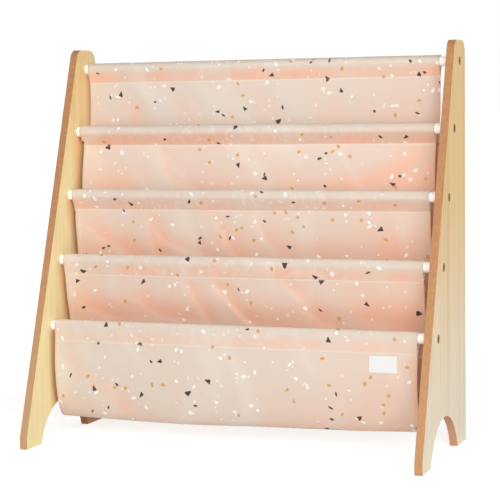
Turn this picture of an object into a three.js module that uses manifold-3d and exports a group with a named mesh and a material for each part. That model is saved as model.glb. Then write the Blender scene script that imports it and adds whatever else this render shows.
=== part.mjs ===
// Sling bookshelf for a child's room
// Two sloping side boards are bolted to five tubes, and four cloth slings hang between the tubes as pockets.
// Millimetres: X runs to the right, Y to the rear and Z up. The origin is the middle of the footprint.

import * as THREE from "three";
import { mergeVertices } from "three/addons/utils/BufferGeometryUtils.js";
import Module from "manifold-3d";

const wasm = await Module();
wasm.setup();

// Overall size
const WIDTH = 628;
const DEPTH = 272;
const HEIGHT = 610;

// Clearances
const CLEARANCE = 0.3; // between pieces that touch on the real shelf
const OVERRUN = 2; // how far a drill runs past the face it enters or leaves

// Side boards
const BOARD = 12; // thickness
const BOARD_TOP = 64; // depth along the top edge, before its corners are rounded
const FRONT_UPRIGHT = 18; // upright part of the front edge, above the floor
const TOP_FRONT_RADIUS = 18;
const TOP_REAR_RADIUS = 20;
const FRONT_FOOT = 48; // length of the front foot on the floor
const REAR_FOOT = 57;
const ARCH_RISE = 60; // height of the arch between the feet
const EDGE_EASE = 0.8; // chamfer along every edge of the board

// Rods, which are tubes
const ROD_COUNT = 5;
const ROD_DIAMETER = 16;
const ROD_WALL = 1;
const TOP_ROD_DROP = 31; // from the top of the boards down to the centre of the first rod
const ROD_SETBACK = 40; // from the sloping edge of the boards back to the centre of a rod

// Bolts and the threaded inserts in the ends of the rods
const BOLT_DIAMETER = 6;
const BOLT_LENGTH = 25; // below the head
const BOLT_TIP = 0.7; // chamfer at the tip
const HEAD_DIAMETER = 13;
const HEAD_HEIGHT = 2.2;
const HEAD_EASE = 0.4; // chamfer round the rim of the head
const KEY_SIZE = 4; // across the flats of the hexagon socket
const KEY_DEPTH = 2.8;
const INSERT_LENGTH = 20;
const INSERT_LEAD = 1; // chamfer at the inner end, which goes into the tube first

// Cloth slings
const CLOTH = 1.2; // thickness
const LEFT_GAP = 7; // between the left board and the cloth, which lies pushed a little to the left on its rods
const RIGHT_GAP = 17;
const SEAM_DROP = 22; // from the centre of a rod down to the seam that closes its channel
const POCKET_DROP = 149; // from the centre of a rod down to the bottom of the pocket behind it
const FLOOR_GAP = 30; // below the bottom of the lowest pocket
const INNER_TURN = 45; // height of the rounded bottom of a pocket
const FRONT_TURN = 92; // the same at the front of the lowest pocket, which bellies out
const SWAY = 16; // largest distance of a hanging sheet behind the centre of its rod
const FRONT_BELLY = 1.5; // how far the front sheet stands in front of its channel
const BOTTOM_RISE = 9; // how much higher the bottom of a pocket is at its right end than at its lowest
const LAYER_GAP = 0.5; // between the two sheets that hang from one rod

// Folds in the hanging sheets
const FOLD_DEPTH = 6;
const FOLD_HALF_WIDTH = 30;
const FOLD_FADE = 34; // below the seam, where the folds reach their full depth

// Label
const LABEL_WIDTH = 42;
const LABEL_HEIGHT = 25;
const LABEL_THICKNESS = 0.4;
const LABEL_INSET = 30; // from the right edge of the cloth
const LABEL_DROP = 4; // below the seam of the lowest channel

// Steps of the round and swept surfaces
const ARC_STEPS = 9;
const ROD_STEPS = 24;
const BOLT_STEPS = 16;
const CHANNEL_STEPS = 6;
const SHEET_STEPS = 3; // from the seam down to where the pocket behind the sheet turns
const TURN_STEPS = 4; // in each half of the rounded bottom
const TAIL_STEPS = 2; // from the bottom of the pocket behind down to where the sheet itself turns
const FRONT_STEPS = 2; // from the seam down to the turn of the front sheet
const ACROSS_STEPS = 16;
const LABEL_STEPS = 3;

// Where each hanging sheet lies behind its rod, from the seam down to where it turns:
// how far down, as shares of the whole drop, and how far behind, as shares of the sway, one row a rod
const hangDepthShares = [0, 0.21, 0.4, 0.71, 1];
const hangShares = [
  [-0.09, -0.11, -0.28, -0.42, -0.48],
  [0.37, -0.05, -0.28, -0.1, 0.12],
  [0.17, 0.38, 0.64, 0.9, 1],
  [-0.17, 0.17, 0.69, 0.94, 0.97],
];

// The height of the bottom of a pocket above its lowest point, as shares of its rise at the right end
const acrossShares = [0, 0.1, 0.35, 0.55, 0.7, 0.85, 1];
const bottomShares = [0.4, 0.22, 0, 0.3, 0.45, 0.62, 1];

// Folds in the sheets of each rod. Each runs from one point to another, given as shares across the cloth
// from the left and down from the seam to the bottom of its pocket, and then has its share of the fold depth
const foldShares = [
  [
    [0.1, 0.02, 0.17, 0.3, -0.5],
    [0.14, 0.18, 0.16, 0.5, 0.7],
    [0.25, 0.02, 0.34, 0.35, -0.7],
    [0.42, 0.1, 0.47, 0.5, 0.8],
    [0.55, 0.05, 0.6, 0.45, -0.6],
    [0.72, 0.1, 0.78, 0.5, 0.6],
  ],
  [
    [0.22, 0.05, 0.36, 0.45, 0.9],
    [0.5, 0.1, 0.58, 0.5, -0.5],
    [0.75, 0.34, 0.97, 0.08, 1],
  ],
  [
    [0.04, 0.3, 0.16, 0.42, 0.8],
    [0.22, 0.06, 0.34, 0.44, 0.8],
    [0.4, 0.05, 0.48, 0.45, 0.6],
    [0.54, 0.1, 0.6, 0.45, -0.4],
    [0.9, 0.4, 0.99, 0.2, 0.5],
  ],
  [
    [0.08, 0.3, 0.16, 0.4, 0.8],
    [0.37, 0.12, 0.46, 0.42, 0.7],
    [0.5, 0.12, 0.56, 0.44, 1],
    [0.66, 0.12, 0.76, 0.44, 0.9],
  ],
  [
    [0.05, 0.38, 0.19, 0.95, 0.7],
    [0.4, 0.2, 0.46, 0.9, -0.4],
  ],
];

// Colours from the photograph
const veneer = () => new THREE.MeshStandardMaterial({ color: 0xe8d09c, roughness: 0.55, metalness: 0 });
const whitePaint = () => new THREE.MeshStandardMaterial({ color: 0xf4f2ee, roughness: 0.3, metalness: 0 });
const zincPlate = () => new THREE.MeshStandardMaterial({ color: 0xb9bcc0, roughness: 0.4, metalness: 0.9 });
const bronzePlate = () => new THREE.MeshStandardMaterial({ color: 0x8a6a4c, roughness: 0.45, metalness: 0.8 });
const blushCloth = () => new THREE.MeshStandardMaterial({ color: 0xe8cdb4, roughness: 0.8, metalness: 0 });
const whiteTape = () => new THREE.MeshStandardMaterial({ color: 0xf8f8f6, roughness: 0.7, metalness: 0 });

// Places that follow from the sizes
const half = (length) => length / 2;
const rodRadius = half(ROD_DIAMETER);
const innerFace = half(WIDTH) - BOARD; // of a side board
const slingWidth = 2 * innerFace - LEFT_GAP - RIGHT_GAP;
const slingShift = half(LEFT_GAP - RIGHT_GAP);
const channelInner = rodRadius + CLEARANCE;
const channelOuter = channelInner + CLOTH;
const layer = CLOTH + LAYER_GAP;
const lowRodHeight = FLOOR_GAP + POCKET_DROP;
const rodPitch = (HEIGHT - TOP_ROD_DROP - lowRodHeight) / (ROD_COUNT - 1);
const slope = (DEPTH - BOARD_TOP) / (HEIGHT - FRONT_UPRIGHT); // of the front edge

// Centres of the rods, as depth and height
const rods = Array.from({ length: ROD_COUNT }, (_, i) => {
  const height = HEIGHT - TOP_ROD_DROP - i * rodPitch;
  const frontEdge = (height - FRONT_UPRIGHT) * slope - half(DEPTH);
  return new THREE.Vector2(frontEdge + ROD_SETBACK, height);
});

// A solid for cutting, from a closed geometry
function toSolid(geometry) {
  const bare = geometry.clone();
  bare.deleteAttribute("normal");
  bare.deleteAttribute("uv");
  const merged = mergeVertices(bare);
  return new wasm.Manifold(
    new wasm.Mesh({
      numProp: 3,
      vertProperties: new Float32Array(merged.attributes.position.array),
      triVerts: new Uint32Array(merged.index.array),
    }),
  );
}

function toGeometry(solid) {
  const mesh = solid.getMesh();
  const geometry = new THREE.BufferGeometry();
  geometry.setAttribute("position", new THREE.BufferAttribute(mesh.vertProperties, mesh.numProp));
  geometry.setIndex(new THREE.BufferAttribute(mesh.triVerts, 1));
  return geometry;
}

// A round piece from its profile, as radius and place along X
function turned(profile, steps) {
  const points = profile.map(([radius, along]) => new THREE.Vector2(radius, along));
  return new THREE.LatheGeometry(points, steps).rotateZ(-half(Math.PI));
}

// An arc round the corner between two straight edges
function roundCorner(shape, before, corner, after, radius) {
  const back = before.clone().sub(corner).normalize();
  const on = after.clone().sub(corner).normalize();
  const halfAngle = half(Math.acos(back.dot(on)));
  const centre = corner.clone().add(back.clone().add(on).setLength(radius / Math.sin(halfAngle)));
  const reach = radius / Math.tan(halfAngle);
  const start = corner.clone().addScaledVector(back, reach).sub(centre);
  const end = corner.clone().addScaledVector(on, reach).sub(centre);
  shape.absarc(centre.x, centre.y, radius, start.angle(), end.angle(), back.cross(on) > 0);
}

// Outline of a side board, as depth from its front edge and height
function boardOutline() {
  const knee = new THREE.Vector2(0, FRONT_UPRIGHT);
  const topFront = new THREE.Vector2(DEPTH - BOARD_TOP, HEIGHT);
  const topRear = new THREE.Vector2(DEPTH, HEIGHT);
  const rearHeel = new THREE.Vector2(DEPTH, 0);
  const span = DEPTH - FRONT_FOOT - REAR_FOOT;
  const archRadius = (half(span) ** 2 + ARCH_RISE ** 2) / (2 * ARCH_RISE);
  const archDepth = FRONT_FOOT + half(span);
  const archHeight = ARCH_RISE - archRadius;
  const springAngle = Math.asin(-archHeight / archRadius);

  const outline = new THREE.Shape();
  outline.moveTo(0, 0);
  outline.lineTo(FRONT_FOOT, 0);
  outline.absarc(archDepth, archHeight, archRadius, Math.PI - springAngle, springAngle, true);
  outline.lineTo(rearHeel.x, rearHeel.y);
  roundCorner(outline, rearHeel, topRear, topFront, TOP_REAR_RADIUS);
  roundCorner(outline, topRear, topFront, knee, TOP_FRONT_RADIUS);
  outline.lineTo(knee.x, knee.y);
  return outline;
}

// The stepped hole for a bolt, along X, with the seat of its head towards the outside
function boltHole(side) {
  const holeRadius = half(BOLT_DIAMETER) + CLEARANCE;
  const seatRadius = half(HEAD_DIAMETER) + CLEARANCE;
  const seat = half(BOARD) - HEAD_HEIGHT - CLEARANCE;
  const inside = -half(BOARD) - OVERRUN;
  const outside = half(BOARD) + OVERRUN;
  const drill = turned(
    [[0, inside], [holeRadius, inside], [holeRadius, seat], [seatRadius, seat], [seatRadius, outside], [0, outside]],
    BOLT_STEPS,
  );
  return side > 0 ? drill : drill.rotateZ(Math.PI);
}

// A side board about its own middle plane, on the side -1 for left or 1 for right
function sideBoard(side) {
  const plank = new THREE.ExtrudeGeometry(boardOutline(), {
    depth: BOARD - 2 * EDGE_EASE,
    curveSegments: ARC_STEPS,
    bevelThickness: EDGE_EASE,
    bevelSize: EDGE_EASE,
    bevelOffset: -EDGE_EASE,
    bevelSegments: 1,
  });
  plank.translate(-half(DEPTH), 0, EDGE_EASE - half(BOARD));
  const [x, y, z] = [new THREE.Vector3(1, 0, 0), new THREE.Vector3(0, 1, 0), new THREE.Vector3(0, 0, 1)];
  plank.applyMatrix4(new THREE.Matrix4().makeBasis(y, z, x));
  let solid = toSolid(plank);
  for (const rod of rods) solid = solid.subtract(toSolid(boltHole(side).translate(0, rod.x, rod.y)));
  return toGeometry(solid);
}

function rodTube() {
  const end = innerFace - CLEARANCE;
  const bore = rodRadius - ROD_WALL;
  return turned([[bore, -end], [rodRadius, -end], [rodRadius, end], [bore, end], [bore, -end]], ROD_STEPS);
}

// A bolt that points to -X, with the underside of its head at the origin
function bolt() {
  const shank = half(BOLT_DIAMETER);
  const head = half(HEAD_DIAMETER);
  const body = turned(
    [
      [0, -BOLT_LENGTH],
      [shank - BOLT_TIP, -BOLT_LENGTH],
      [shank, BOLT_TIP - BOLT_LENGTH],
      [shank, 0],
      [head, 0],
      [head, HEAD_HEIGHT - HEAD_EASE],
      [head - HEAD_EASE, HEAD_HEIGHT],
      [0, HEAD_HEIGHT],
    ],
    BOLT_STEPS,
  );
  const corner = half(KEY_SIZE) / Math.cos(Math.PI / 6);
  const key = new THREE.CylinderGeometry(corner, corner, KEY_DEPTH + OVERRUN, 6).rotateZ(-half(Math.PI));
  key.translate(HEAD_HEIGHT + half(OVERRUN - KEY_DEPTH), 0, 0);
  return toGeometry(toSolid(body).subtract(toSolid(key)));
}

// A threaded insert for the right end of a rod, with its outer face at the origin
function threadedInsert() {
  const outer = rodRadius - ROD_WALL - CLEARANCE;
  const bore = half(BOLT_DIAMETER) + CLEARANCE;
  return turned(
    [
      [bore, -INSERT_LENGTH],
      [outer - INSERT_LEAD, -INSERT_LENGTH],
      [outer, INSERT_LEAD - INSERT_LENGTH],
      [outer, 0],
      [bore, 0],
      [bore, -INSERT_LENGTH],
    ],
    BOLT_STEPS,
  );
}

// A smooth curve through the values at the given places, read at one place
function through(places, values, place) {
  const curve = new THREE.CubicInterpolant(places, values, 1);
  return curve.evaluate(THREE.MathUtils.clamp(place, places[0], places.at(-1)))[0];
}

// How far the folds push a sheet of a rod to the rear, at a share across it and a depth below the rod
function foldAt(rod, across, depth) {
  const drop = pocketDepth(rod) - SEAM_DROP;
  const point = new THREE.Vector3(across * slingWidth, depth - SEAM_DROP, 0);
  const nearest = new THREE.Vector3();
  let push = 0;
  for (const [fromAcross, fromDown, toAcross, toDown, share] of foldShares[rod]) {
    const start = new THREE.Vector3(fromAcross * slingWidth, fromDown * drop, 0);
    const end = new THREE.Vector3(toAcross * slingWidth, toDown * drop, 0);
    new THREE.Line3(start, end).closestPointToPoint(point, true, nearest);
    push += share * FOLD_DEPTH * Math.exp(-((point.distanceTo(nearest) / FOLD_HALF_WIDTH) ** 2));
  }
  return push * THREE.MathUtils.smoothstep(depth - SEAM_DROP, 0, FOLD_FADE);
}

// How far below a rod the sheet that hangs from it ends in the bottom of a pocket
function pocketDepth(rod) {
  return rod === ROD_COUNT - 1 ? POCKET_DROP : rodPitch + POCKET_DROP;
}

// Distance of a hanging sheet behind the centre of its rod
function hangAt(rod, across, depth) {
  const fold = foldAt(rod, across, depth);
  if (rod === ROD_COUNT - 1) {
    const down = THREE.MathUtils.smoothstep(depth, SEAM_DROP, POCKET_DROP - FRONT_TURN);
    return fold - rodRadius - CLEARANCE - half(CLOTH) - down * FRONT_BELLY;
  }
  const drop = pocketDepth(rod) - INNER_TURN - SEAM_DROP;
  return fold + SWAY * through(hangDepthShares, hangShares[rod], (depth - SEAM_DROP) / drop);
}

// A point of a hanging sheet
function sheetPoint(rod, across, depth) {
  return new THREE.Vector2(rods[rod].x + hangAt(rod, across, depth), rods[rod].y - depth);
}

// Equal steps from one depth to another
function stepsBetween(from, to, count) {
  return Array.from({ length: count + 1 }, (_, i) => THREE.MathUtils.lerp(from, to, i / count));
}

// Angles round one half of the bottom of a pocket, down from the side to the lowest point
const turnAngles = stepsBetween(0, half(Math.PI), TURN_STEPS).slice(1);

// Depth of the bottom of a pocket below the rod in front of it
function bottomDepth(across) {
  return POCKET_DROP - BOTTOM_RISE * through(acrossShares, bottomShares, across);
}

// Middle line of a sling at one place across it: down from the seam of its own rod, round the bottom of
// the pocket and up to the seam of the next rod, behind the sheet that hangs there
function slingLine(rod, across) {
  const next = rod + 1;
  const isFront = next === ROD_COUNT - 1;
  const innerTurn = POCKET_DROP - INNER_TURN;
  const lowest = bottomDepth(across);
  const behind = isFront ? 0 : layer;
  const nextSheet = (depth) => sheetPoint(next, across, depth).add(new THREE.Vector2(behind, 0));

  // The back sheet has points where the pocket behind it has its own, so the two keep their gap
  const backDepths = [
    ...stepsBetween(SEAM_DROP, innerTurn, SHEET_STEPS),
    ...turnAngles.map((angle) => THREE.MathUtils.lerp(innerTurn, lowest, Math.sin(angle))),
    ...stepsBetween(lowest, pocketDepth(rod) - INNER_TURN, TAIL_STEPS).slice(1),
  ];
  const frontTurn = isFront ? POCKET_DROP - FRONT_TURN : innerTurn;
  const frontDepths = stepsBetween(frontTurn, SEAM_DROP, isFront ? FRONT_STEPS : SHEET_STEPS);
  const back = backDepths.map((depth) => sheetPoint(rod, across, depth));
  const front = frontDepths.map(nextSheet);

  // Two quarter ellipses make the bottom, kept behind the sheet in front of them
  const backEnd = back.at(-1);
  const frontEnd = front[0];
  const middle = half(backEnd.x + frontEnd.x);
  const turnPoint = (end, angle) =>
    new THREE.Vector2(
      THREE.MathUtils.lerp(middle, end.x, Math.cos(angle)),
      THREE.MathUtils.lerp(end.y, rods[next].y - lowest, Math.sin(angle)),
    );
  const rearTurned = turnAngles.map((angle) => turnPoint(backEnd, angle));
  const frontTurned = turnAngles.slice(0, -1).map((angle) => {
    const point = turnPoint(frontEnd, angle);
    const depth = rods[next].y - point.y;
    const fold = foldAt(next, across, depth) - foldAt(next, across, frontTurn);
    point.x = isFront ? point.x + fold * Math.cos(angle) : Math.max(point.x, nextSheet(depth).x);
    return point;
  });
  return [...back, ...rearTurned, ...frontTurned.reverse(), ...front];
}

// The round part of a channel and its two sides down to the seam, from front to rear over the rod
function channelArc(centre, seam, radius) {
  const reach = seam.clone().sub(centre);
  const open = Math.acos(radius / reach.length());
  const start = reach.angle() - open;
  const end = reach.angle() + open - 2 * Math.PI;
  const toCorner = radius / Math.cos(half(start - end) / CHANNEL_STEPS); // the flats between corners clear the rod
  return stepsBetween(start, end, CHANNEL_STEPS).map((angle) =>
    new THREE.Vector2(Math.cos(angle), Math.sin(angle)).multiplyScalar(toCorner).add(centre),
  );
}

// The inside of a channel, in proportion to its outside about the rod
function channelHole(centre, seam) {
  const apex = seam.clone().sub(centre).multiplyScalar(channelInner / channelOuter).add(centre);
  return [...channelArc(centre, apex, channelInner), apex];
}

// The two faces of a sheet along its middle line
function faces(line, thickness) {
  const offset = (side) =>
    line.map((point, i) => {
      const along = line[Math.min(i + 1, line.length - 1)].clone().sub(line[Math.max(i - 1, 0)]);
      return point.clone().add(new THREE.Vector2(-along.y, along.x).setLength(half(side * thickness)));
    });
  return [offset(1), offset(-1)];
}

// Section of a sling at one place across it
function slingSection(rod, across) {
  const line = slingLine(rod, across);
  const [rear, front] = faces(line, CLOTH);
  const isFront = rod === ROD_COUNT - 2;
  const farChannel = isFront ? channelArc(rods[rod + 1], line.at(-1), channelOuter) : [];
  return {
    x: slingShift + (across - half(1)) * slingWidth,
    outer: [...rear, ...farChannel, ...front.reverse(), ...channelArc(rods[rod], line[0], channelOuter)],
    holes: [channelHole(rods[rod], line[0]), ...(isFront ? [channelHole(rods[rod + 1], line.at(-1))] : [])],
  };
}

// A closed solid through like sections, each a loop of depths and heights with its holes
function loft(sections) {
  const turn = (loop, anticlockwise) => (THREE.ShapeUtils.area(loop) > 0 === anticlockwise ? loop : loop.reverse());
  const positions = [];
  for (const section of sections) {
    turn(section.outer, true);
    section.holes.forEach((hole) => turn(hole, false));
    for (const point of [section.outer, ...section.holes].flat()) positions.push(section.x, point.x, point.y);
  }
  const loops = [sections[0].outer, ...sections[0].holes];
  const stride = loops.flat().length;
  const index = [];
  for (let i = 1; i < sections.length; i++) {
    let first = (i - 1) * stride;
    for (const loop of loops) {
      for (let j = 0; j < loop.length; j++) {
        const here = first + j;
        const beside = first + ((j + 1) % loop.length);
        // Every diagonal falls to the right, so two sheets that lie together are creased alike
        if (positions[3 * here + 2] > positions[3 * beside + 2]) {
          index.push(here, beside, beside + stride, here, beside + stride, here + stride);
        } else {
          index.push(here, beside, here + stride, beside, beside + stride, here + stride);
        }
      }
      first += loop.length;
    }
  }
  const closeEnd = (section, first, outward) => {
    const points = [section.outer, ...section.holes].flat();
    for (const [a, b, c] of THREE.ShapeUtils.triangulateShape(section.outer, section.holes)) {
      const isUp = THREE.ShapeUtils.area([points[a], points[b], points[c]]) > 0;
      index.push(...(isUp === outward ? [a, b, c] : [a, c, b]).map((corner) => first + corner));
    }
  };
  closeEnd(sections[0], 0, false);
  closeEnd(sections.at(-1), (sections.length - 1) * stride, true);
  const geometry = new THREE.BufferGeometry();
  geometry.setAttribute("position", new THREE.Float32BufferAttribute(positions, 3));
  geometry.setIndex(index);
  return geometry;
}

function sling(rod) {
  return loft(stepsBetween(0, 1, ACROSS_STEPS).map((across) => slingSection(rod, across)));
}

// The label lies on the front sheet, just below the seam
function label() {
  const right = 1 - LABEL_INSET / slingWidth;
  const left = right - LABEL_WIDTH / slingWidth;
  const top = SEAM_DROP + LABEL_DROP;
  const forward = new THREE.Vector2(-half(CLOTH) - CLEARANCE - half(LABEL_THICKNESS), 0);
  const sections = stepsBetween(left, right, LABEL_STEPS).map((across) => {
    const line = stepsBetween(top, top + LABEL_HEIGHT, LABEL_STEPS).map((depth) =>
      sheetPoint(ROD_COUNT - 1, across, depth).add(forward),
    );
    const [rear, front] = faces(line, LABEL_THICKNESS);
    return { x: slingShift + (across - half(1)) * slingWidth, outer: [...rear, ...front.reverse()], holes: [] };
  });
  return loft(sections);
}

// The shelf
const shelf = new THREE.Group();

function place(name, geometry, material, x = 0, depth = 0, height = 0) {
  const mesh = new THREE.Mesh(geometry, material);
  mesh.name = name;
  mesh.position.set(x, depth, height);
  shelf.add(mesh);
  return mesh;
}

for (const [word, side] of [["left", -1], ["right", 1]]) {
  place("side_board_" + word, sideBoard(side), veneer(), side * (half(WIDTH) - half(BOARD)));
  rods.forEach((rod, i) => {
    const underHead = side * (half(WIDTH) - HEAD_HEIGHT);
    const rodEnd = side * (innerFace - CLEARANCE);
    const turn = side > 0 ? 0 : Math.PI;
    place("bolt_" + word + "_" + (i + 1), bolt(), bronzePlate(), underHead, rod.x, rod.y).rotation.z = turn;
    place("insert_" + word + "_" + (i + 1), threadedInsert(), zincPlate(), rodEnd, rod.x, rod.y).rotation.z = turn;
  });
}
rods.forEach((rod, i) => place("rod_" + (i + 1), rodTube(), whitePaint(), 0, rod.x, rod.y));
for (let i = 0; i < ROD_COUNT - 1; i++) place("sling_" + (i + 1), sling(i), blushCloth());
place("blank_label", label(), whiteTape());

export default shelf;
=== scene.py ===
"""Sling bookshelf: two arched boards, five white tubes and four cloth slings with a chip print, in metres."""

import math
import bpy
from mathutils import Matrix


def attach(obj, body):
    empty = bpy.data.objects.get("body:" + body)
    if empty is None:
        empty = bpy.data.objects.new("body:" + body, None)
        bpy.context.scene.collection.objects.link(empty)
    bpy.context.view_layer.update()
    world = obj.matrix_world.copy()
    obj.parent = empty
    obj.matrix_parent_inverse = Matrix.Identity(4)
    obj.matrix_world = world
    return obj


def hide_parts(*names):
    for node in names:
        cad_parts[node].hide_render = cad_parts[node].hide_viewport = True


bl_info = {
    "name": "Sling Bookshelf",
    "version": (1, 0, 0),
    "blender": (4, 5, 0),
    "location": "3D View > Sidebar > Shelf",
    "description": "Builds a child's sling bookshelf from boards, tubes, bolts and sewn cloth slings",
    "category": "Object",
}

import bmesh
import bpy
from mathutils import Matrix, Vector, noise

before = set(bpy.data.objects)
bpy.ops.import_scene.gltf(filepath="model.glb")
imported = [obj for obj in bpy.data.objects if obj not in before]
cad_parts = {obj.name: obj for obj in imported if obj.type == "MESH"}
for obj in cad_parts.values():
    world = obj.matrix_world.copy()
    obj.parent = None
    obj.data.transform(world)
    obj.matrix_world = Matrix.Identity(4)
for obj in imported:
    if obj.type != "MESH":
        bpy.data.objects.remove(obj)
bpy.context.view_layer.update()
MM = 0.001

# Sizes that the pieces share with the frame
WIDTH = 628 * MM
DEPTH = 272 * MM
HEIGHT = 610 * MM
CLEARANCE = 0.3 * MM
BOARD = 12 * MM
BOARD_TOP = 64 * MM
FRONT_UPRIGHT = 18 * MM
TOP_FRONT_RADIUS = 18 * MM
TOP_REAR_RADIUS = 20 * MM
FRONT_FOOT = 48 * MM
REAR_FOOT = 57 * MM
ARCH_RISE = 60 * MM
ROD_COUNT = 5
ROD_RADIUS = 8 * MM
ROD_WALL = 1 * MM
TOP_ROD_DROP = 31 * MM
ROD_SETBACK = 40 * MM
BOLT_RADIUS = 3 * MM
BOLT_LENGTH = 25 * MM
BOLT_TIP = 0.7 * MM
HEAD_RADIUS = 6.5 * MM
HEAD_HEIGHT = 2.2 * MM
HEAD_EASE = 0.4 * MM
KEY_SIZE = 4 * MM
KEY_DEPTH = 2.8 * MM

# The hang of the cloth
SOLID_CLOTH = 1.2 * MM  # thickness of the solids that the cloth replaces
LEFT_GAP = 7 * MM
RIGHT_GAP = 17 * MM
SEAM_DROP = 22 * MM
POCKET_DROP = 149 * MM
FLOOR_GAP = 30 * MM
INNER_TURN = 45 * MM
FRONT_TURN = 92 * MM
SWAY = 16 * MM
FRONT_BELLY = 1.5 * MM
BOTTOM_RISE = 9 * MM
LAYER = 1.7 * MM
TAIL = 6 * MM  # seam allowance behind the seam of a channel

INNER_FACE = WIDTH / 2 - BOARD
SLING_WIDTH = 2 * INNER_FACE - LEFT_GAP - RIGHT_GAP
SLING_SHIFT = (LEFT_GAP - RIGHT_GAP) / 2
CHANNEL_RADIUS = ROD_RADIUS + CLEARANCE + SOLID_CLOTH / 2
LOW_ROD = FLOOR_GAP + POCKET_DROP
ROD_PITCH = (HEIGHT - TOP_ROD_DROP - LOW_ROD) / (ROD_COUNT - 1)
SLOPE = (DEPTH - BOARD_TOP) / (HEIGHT - FRONT_UPRIGHT)

# Centres of the rods, as depth and height
RODS = []
for rod in range(ROD_COUNT):
    rod_height = HEIGHT - TOP_ROD_DROP - rod * ROD_PITCH
    RODS.append(Vector(((rod_height - FRONT_UPRIGHT) * SLOPE - DEPTH / 2 + ROD_SETBACK, rod_height)))

# Where each hanging sheet lies behind its rod: shares of the drop, and shares of the sway for each rod
HANG_DEPTH_SHARES = [0, 0.21, 0.4, 0.71, 1]
HANG_SHARES = [
    [-0.09, -0.11, -0.28, -0.42, -0.48],
    [0.37, -0.05, -0.28, -0.1, 0.12],
    [0.17, 0.38, 0.64, 0.9, 1],
    [-0.17, 0.17, 0.69, 0.94, 0.97],
]
ACROSS_SHARES = [0, 0.1, 0.35, 0.55, 0.7, 0.85, 1]
BOTTOM_SHARES = [0.4, 0.22, 0, 0.3, 0.45, 0.62, 1]

# Creases of the sheets of each rod: points as share across and depth below the rod in millimetres,
# then how far the crease goes to the rear, its half width, both in millimetres, and how much painted shade it gets,
# below zero a painted highlight
CREASES = [
    [
        ([(0.035, 28), (0.075, 70)], -1.2, 10, -0.5),
        ([(0.141, 29), (0.19, 62)], -1.6, 13, -0.6),
        ([(0.125, 64), (0.13, 100)], 1.8, 11, 0.75),
        ([(0.31, 26), (0.362, 70)], -1.2, 13, -0.5),
        ([(0.4, 60), (0.402, 100)], 1.6, 13, 0.6),
        ([(0.437, 26), (0.436, 72)], -1.1, 13, -0.45),
        ([(0.27, 76), (0.29, 92)], 1.4, 14, 0.4),
        ([(0.56, 34), (0.6, 80)], -0.9, 16, -0.35),
        ([(0.7, 60), (0.72, 96)], 1, 16, 0.25),
    ],
    [
        ([(0.24, 40), (0.252, 62), (0.275, 82), (0.335, 92)], 3, 10, 0.75),
        ([(0.2, 40), (0.215, 90)], -0.7, 16, -0.2),
        ([(0.75, 92), (0.79, 87), (0.86, 76), (0.925, 54), (0.968, 32)], 3.4, 12, 0.9),
        ([(0.7, 74), (0.8, 58), (0.88, 36)], -1, 17, -0.25),
        ([(0.93, 90), (1.02, 66)], 1.6, 18, 0.5),
        ([(0.06, 84), (0.14, 92)], 1.2, 15, 0.35),
        ([(0.5, 60), (0.56, 96)], 1, 20, 0.2),
    ],
    [
        ([(0.065, 62), (0.11, 78), (0.16, 90)], 3.4, 13, 0.85),
        ([(0.218, 36), (0.224, 60), (0.24, 94)], 3.4, 12, 0.9),
        ([(0.26, 64), (0.31, 82), (0.37, 98)], 3, 9, 0.7),
        ([(0.18, 56), (0.195, 90)], -0.6, 9, -0.3),
        ([(0.405, 26), (0.43, 54), (0.462, 88)], 3.2, 9, 0.75),
        ([(0.375, 40), (0.4, 84)], -0.6, 12, -0.2),
        ([(0.535, 42), (0.575, 80)], 2.4, 11, 0.6),
        ([(0.62, 92), (0.78, 94)], 1, 14, 0.4),
        ([(0.9, 92), (1.02, 70)], 2, 20, 0.55),
    ],
    [
        ([(0.06, 72), (0.09, 81), (0.125, 90)], 3, 12, 0.8),
        ([(0.235, 70), (0.27, 82), (0.345, 92)], 3.2, 12, 0.85),
        ([(0.36, 36), (0.385, 62), (0.41, 90)], 3, 9, 0.8),
        ([(0.44, 36), (0.467, 50), (0.5, 73), (0.53, 94)], 4.6, 9, 1),
        ([(0.42, 52), (0.452, 92)], -0.7, 10, -0.25),
        ([(0.64, 36), (0.68, 54), (0.7, 74), (0.735, 92)], 3.6, 12, 0.85),
        ([(0.6, 44), (0.63, 84)], -0.5, 13, -0.15),
        ([(0.86, 84), (1.0, 95)], 2, 16, 0.6),
    ],
    [
        ([(0.045, 56), (0.08, 74), (0.126, 95), (0.165, 113), (0.2, 134)], 4, 6, 1.0),
        ([(0.03, 80), (0.09, 110)], -1.2, 14, -0.4),
        ([(0.42, 50), (0.46, 130)], -1, 24, -0.45),
        ([(0.2, 60), (0.27, 120)], -1, 20, -0.45),
        ([(0.88, 60), (0.96, 128)], 1.4, 26, 0.3),
    ],
]

# How much painted shade (pink) each channel gets on its shaded side, and each sheet at its top, low down and at its
# right end
CHANNEL_SHADE_SHARES = [0.5, 0.6, 0.38, 0.42, 0.3]
TOP_SHADE_SHARES = [0, 0.1, 0.1, 0.15, 0]
LOW_SHADE_SHARES = [0.14, 0.28, 0.34, 0.4, 0.04]
RIGHT_SHADE_SHARES = [0.12, 0.14, 0.18, 0.2, 0.15]

# How much painted highlight each channel gets along its top
CHANNEL_HIGHLIGHT_SHARES = [0, 0, 1.4, 1.6, 2.2]

# Where the light that pales the cloth comes from
PALE_SIDE = Vector((-0.5, -0.62, 0.6)).normalized()


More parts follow.
